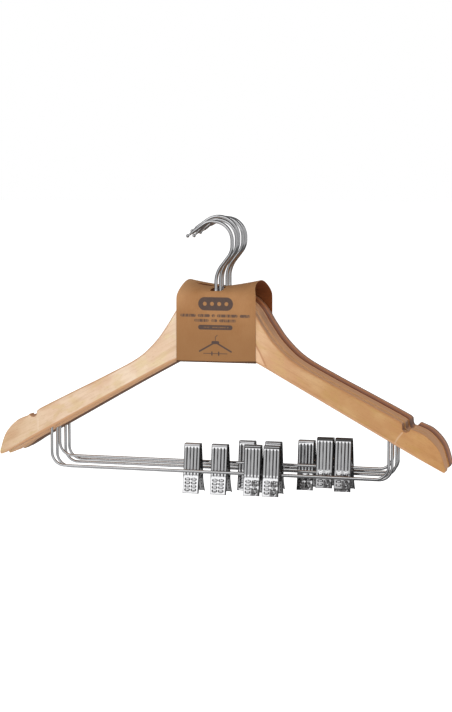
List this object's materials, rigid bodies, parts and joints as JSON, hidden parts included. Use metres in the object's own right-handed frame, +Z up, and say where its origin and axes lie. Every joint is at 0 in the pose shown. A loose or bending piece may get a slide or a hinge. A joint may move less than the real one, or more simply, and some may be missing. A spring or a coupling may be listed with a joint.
{
  "type": "wooden clothes hanger set",
  "caption": "Nested wooden trouser hangers with swivel wire hooks, wire bars and spring clips, bound at their necks by a paper sleeve.",
  "frame": {"origin": "where a wardrobe rail bears on the front hook's inner crown, above its stem, midway through the stack", "axes": "+X along the hangers' span, +Y from the front hanger to the back one, +Z up"},
  "size_m": [0.4468, 0.0712, 0.2683],
  "materials": {
    "beech": "clear satin lacquer over pale beech",
    "chrome": "bright plated steel",
    "spring_steel": "plain drawn steel",
    "kraft_paper": "matte kraft paper with a plain dark print"
  },
  "bodies": {
    "frame": {"hanger_1_left_arm": "beech", "hanger_1_right_arm": "beech", "hanger_1_ferrule": "spring_steel", "hanger_1_bar": "chrome", "hanger_2_left_arm": "beech", "hanger_2_right_arm": "beech", "hanger_2_ferrule": "spring_steel", "hanger_2_bar": "chrome", "hanger_3_left_arm": "beech", "hanger_3_right_arm": "beech", "hanger_3_ferrule": "spring_steel", "hanger_3_bar": "chrome", "hanger_4_left_arm": "beech", "hanger_4_right_arm": "beech", "hanger_4_ferrule": "spring_steel", "hanger_4_bar": "chrome", "hanger_5_left_arm": "beech", "hanger_5_right_arm": "beech", "hanger_5_ferrule": "spring_steel", "hanger_5_bar": "chrome", "paper_sleeve": "kraft_paper"},
    "hook_1": {"hanger_1_hook": "chrome"},
    "hook_2": {"hanger_2_hook": "chrome"},
    "hook_3": {"hanger_3_hook": "chrome"},
    "hook_4": {"hanger_4_hook": "chrome"},
    "hook_5": {"hanger_5_hook": "chrome"},
    "clip_1a_slider": {"clip_1a_spring": "spring_steel"},
    "clip_1a_back": {"clip_1a_back_jaw": "chrome"},
    "clip_1a_front": {"clip_1a_front_jaw": "chrome"},
    "clip_1b_slider": {"clip_1b_spring": "spring_steel"},
    "clip_1b_back": {"clip_1b_back_jaw": "chrome"},
    "clip_1b_front": {"clip_1b_front_jaw": "chrome"},
    "clip_2a_slider": {"clip_2a_spring": "spring_steel"},
    "clip_2a_back": {"clip_2a_back_jaw": "chrome"},
    "clip_2a_front": {"clip_2a_front_jaw": "chrome"},
    "clip_2b_slider": {"clip_2b_spring": "spring_steel"},
    "clip_2b_back": {"clip_2b_back_jaw": "chrome"},
    "clip_2b_front": {"clip_2b_front_jaw": "chrome"},
    "clip_3a_slider": {"clip_3a_spring": "spring_steel"},
    "clip_3a_back": {"clip_3a_back_jaw": "chrome"},
    "clip_3a_front": {"clip_3a_front_jaw": "chrome"},
    "clip_3b_slider": {"clip_3b_spring": "spring_steel"},
    "clip_3b_back": {"clip_3b_back_jaw": "chrome"},
    "clip_3b_front": {"clip_3b_front_jaw": "chrome"},
    "clip_4a_slider": {"clip_4a_spring": "spring_steel"},
    "clip_4a_back": {"clip_4a_back_jaw": "chrome"},
    "clip_4a_front": {"clip_4a_front_jaw": "chrome"},
    "clip_4b_slider": {"clip_4b_spring": "spring_steel"},
    "clip_4b_back": {"clip_4b_back_jaw": "chrome"},
    "clip_4b_front": {"clip_4b_front_jaw": "chrome"},
    "clip_5a_slider": {"clip_5a_spring": "spring_steel"},
    "clip_5a_back": {"clip_5a_back_jaw": "chrome"},
    "clip_5a_front": {"clip_5a_front_jaw": "chrome"},
    "clip_5b_slider": {"clip_5b_spring": "spring_steel"},
    "clip_5b_back": {"clip_5b_back_jaw": "chrome"},
    "clip_5b_front": {"clip_5b_front_jaw": "chrome"}
  },
  "joints": [
    {"name": "hook_1_swivel", "type": "hinge", "parent": "frame", "child": "hook_1", "pos_m": [0, -0.0246, -0.04939], "axis": [0, 0, 1], "range_deg": [-15, 60]},
    {"name": "hook_2_swivel", "type": "hinge", "parent": "frame", "child": "hook_2", "pos_m": [0.0009, -0.0123, -0.04939], "axis": [0, 0, 1], "range_deg": [-15, 15]},
    {"name": "hook_3_swivel", "type": "hinge", "parent": "frame", "child": "hook_3", "pos_m": [-0.0009, 0, -0.04939], "axis": [0, 0, 1], "range_deg": [-15, 15]},
    {"name": "hook_4_swivel", "type": "hinge", "parent": "frame", "child": "hook_4", "pos_m": [0.0003, 0.0123, -0.04987], "axis": [0, 0, 1], "range_deg": [-15, 15]},
    {"name": "hook_5_swivel", "type": "hinge", "parent": "frame", "child": "hook_5", "pos_m": [-0.0003, 0.0246, -0.04975], "axis": [0, 0, 1], "range_deg": [-60, 15]},
    {"name": "clip_1a_slide", "type": "slide", "parent": "frame", "child": "clip_1a_slider", "axis": [1, 0, 0], "range_m": [-0.02, 0.002]},
    {"name": "clip_1a_swing", "type": "hinge", "parent": "clip_1a_slider", "child": "clip_1a_back", "pos_m": [0.0377, -0.0246, -0.23939], "axis": [1, 0, 0], "range_deg": [-15, 25]},
    {"name": "clip_1a_open", "type": "hinge", "parent": "clip_1a_back", "child": "clip_1a_front", "pos_m": [0.0377, -0.0246, -0.23939], "axis": [1, 0, 0], "range_deg": [0, 20], "stiffness_Nm_per_rad": 0.1, "springref_deg": -57.3},
    {"name": "clip_1b_slide", "type": "slide", "parent": "frame", "child": "clip_1b_slider", "axis": [1, 0, 0], "range_m": [-0.002, 0.03]},
    {"name": "clip_1b_swing", "type": "hinge", "parent": "clip_1b_slider", "child": "clip_1b_back", "pos_m": [0.0565, -0.0246, -0.23939], "axis": [1, 0, 0], "range_deg": [-15, 25]},
    {"name": "clip_1b_open", "type": "hinge", "parent": "clip_1b_back", "child": "clip_1b_front", "pos_m": [0.0565, -0.0246, -0.23939], "axis": [1, 0, 0], "range_deg": [0, 20], "stiffness_Nm_per_rad": 0.1, "springref_deg": -57.3},
    {"name": "clip_2a_slide", "type": "slide", "parent": "frame", "child": "clip_2a_slider", "axis": [1, 0, 0], "range_m": [-0.118, 0.011]},
    {"name": "clip_2a_swing", "type": "hinge", "parent": "clip_2a_slider", "child": "clip_2a_back", "pos_m": [-0.027, -0.0123, -0.24189], "axis": [1, 0, 0], "range_deg": [-15, 12]},
    {"name": "clip_2a_open", "type": "hinge", "parent": "clip_2a_back", "child": "clip_2a_front", "pos_m": [-0.027, -0.0123, -0.24189], "axis": [1, 0, 0], "range_deg": [0, 20], "stiffness_Nm_per_rad": 0.1, "springref_deg": -57.3},
    {"name": "clip_2b_slide", "type": "slide", "parent": "frame", "child": "clip_2b_slider", "axis": [1, 0, 0], "range_m": [-0.011, 0.02]},
    {"name": "clip_2b_swing", "type": "hinge", "parent": "clip_2b_slider", "child": "clip_2b_back", "pos_m": [0.0008, -0.0123, -0.24189], "axis": [1, 0, 0], "range_deg": [-15, 12]},
    {"name": "clip_2b_open", "type": "hinge", "parent": "clip_2b_back", "child": "clip_2b_front", "pos_m": [0.0008, -0.0123, -0.24189], "axis": [1, 0, 0], "range_deg": [0, 20], "stiffness_Nm_per_rad": 0.1, "springref_deg": -57.3},
    {"name": "clip_3a_slide", "type": "slide", "parent": "frame", "child": "clip_3a_slider", "axis": [1, 0, 0], "range_m": [-0.008, 0.0013]},
    {"name": "clip_3a_swing", "type": "hinge", "parent": "clip_3a_slider", "child": "clip_3a_back", "pos_m": [0.1032, 0, -0.23289], "axis": [1, 0, 0], "range_deg": [-10, 12]},
    {"name": "clip_3a_open", "type": "hinge", "parent": "clip_3a_back", "child": "clip_3a_front", "pos_m": [0.1032, 0, -0.23289], "axis": [1, 0, 0], "range_deg": [0, 20], "stiffness_Nm_per_rad": 0.1, "springref_deg": -57.3},
    {"name": "clip_3b_slide", "type": "slide", "parent": "frame", "child": "clip_3b_slider", "axis": [1, 0, 0], "range_m": [-0.0013, 0.027]},
    {"name": "clip_3b_swing", "type": "hinge", "parent": "clip_3b_slider", "child": "clip_3b_back", "pos_m": [0.1213, 0, -0.23289], "axis": [1, 0, 0], "range_deg": [-10, 12]},
    {"name": "clip_3b_open", "type": "hinge", "parent": "clip_3b_back", "child": "clip_3b_front", "pos_m": [0.1213, 0, -0.23289], "axis": [1, 0, 0], "range_deg": [0, 20], "stiffness_Nm_per_rad": 0.1, "springref_deg": -57.3},
    {"name": "clip_4a_slide", "type": "slide", "parent": "frame", "child": "clip_4a_slider", "axis": [1, 0, 0], "range_m": [-0.098, 0.0095]},
    {"name": "clip_4a_swing", "type": "hinge", "parent": "clip_4a_slider", "child": "clip_4a_back", "pos_m": [0.0215, 0.0123, -0.24087], "axis": [1, 0, 0], "range_deg": [-15, 5]},
    {"name": "clip_4a_open", "type": "hinge", "parent": "clip_4a_back", "child": "clip_4a_front", "pos_m": [0.0215, 0.0123, -0.24087], "axis": [1, 0, 0], "range_deg": [0, 14], "stiffness_Nm_per_rad": 0.1, "springref_deg": -57.3},
    {"name": "clip_4b_slide", "type": "slide", "parent": "frame", "child": "clip_4b_slider", "axis": [1, 0, 0], "range_m": [-0.0095, 0.0135]},
    {"name": "clip_4b_swing", "type": "hinge", "parent": "clip_4b_slider", "child": "clip_4b_back", "pos_m": [0.048, 0.0123, -0.24087], "axis": [1, 0, 0], "range_deg": [-15, 5]},
    {"name": "clip_4b_open", "type": "hinge", "parent": "clip_4b_back", "child": "clip_4b_front", "pos_m": [0.048, 0.0123, -0.24087], "axis": [1, 0, 0], "range_deg": [0, 14], "stiffness_Nm_per_rad": 0.1, "springref_deg": -57.3},
    {"name": "clip_5a_slide", "type": "slide", "parent": "frame", "child": "clip_5a_slider", "axis": [1, 0, 0], "range_m": [-0.0135, 0.008]},
    {"name": "clip_5a_swing", "type": "hinge", "parent": "clip_5a_slider", "child": "clip_5a_back", "pos_m": [0.0785, 0.0246, -0.23975], "axis": [1, 0, 0], "range_deg": [-15, 20]},
    {"name": "clip_5a_open", "type": "hinge", "parent": "clip_5a_back", "child": "clip_5a_front", "pos_m": [0.0785, 0.0246, -0.23975], "axis": [1, 0, 0], "range_deg": [0, 20], "stiffness_Nm_per_rad": 0.1, "springref_deg": -57.3},
    {"name": "clip_5b_slide", "type": "slide", "parent": "frame", "child": "clip_5b_slider", "axis": [1, 0, 0], "range_m": [-0.0205, 0.03]},
    {"name": "clip_5b_swing", "type": "hinge", "parent": "clip_5b_slider", "child": "clip_5b_back", "pos_m": [0.116, 0.0246, -0.23975], "axis": [1, 0, 0], "range_deg": [-12, 10]},
    {"name": "clip_5b_open", "type": "hinge", "parent": "clip_5b_back", "child": "clip_5b_front", "pos_m": [0.116, 0.0246, -0.23975], "axis": [1, 0, 0], "range_deg": [0, 20], "stiffness_Nm_per_rad": 0.1, "springref_deg": -57.3}
  ]
}
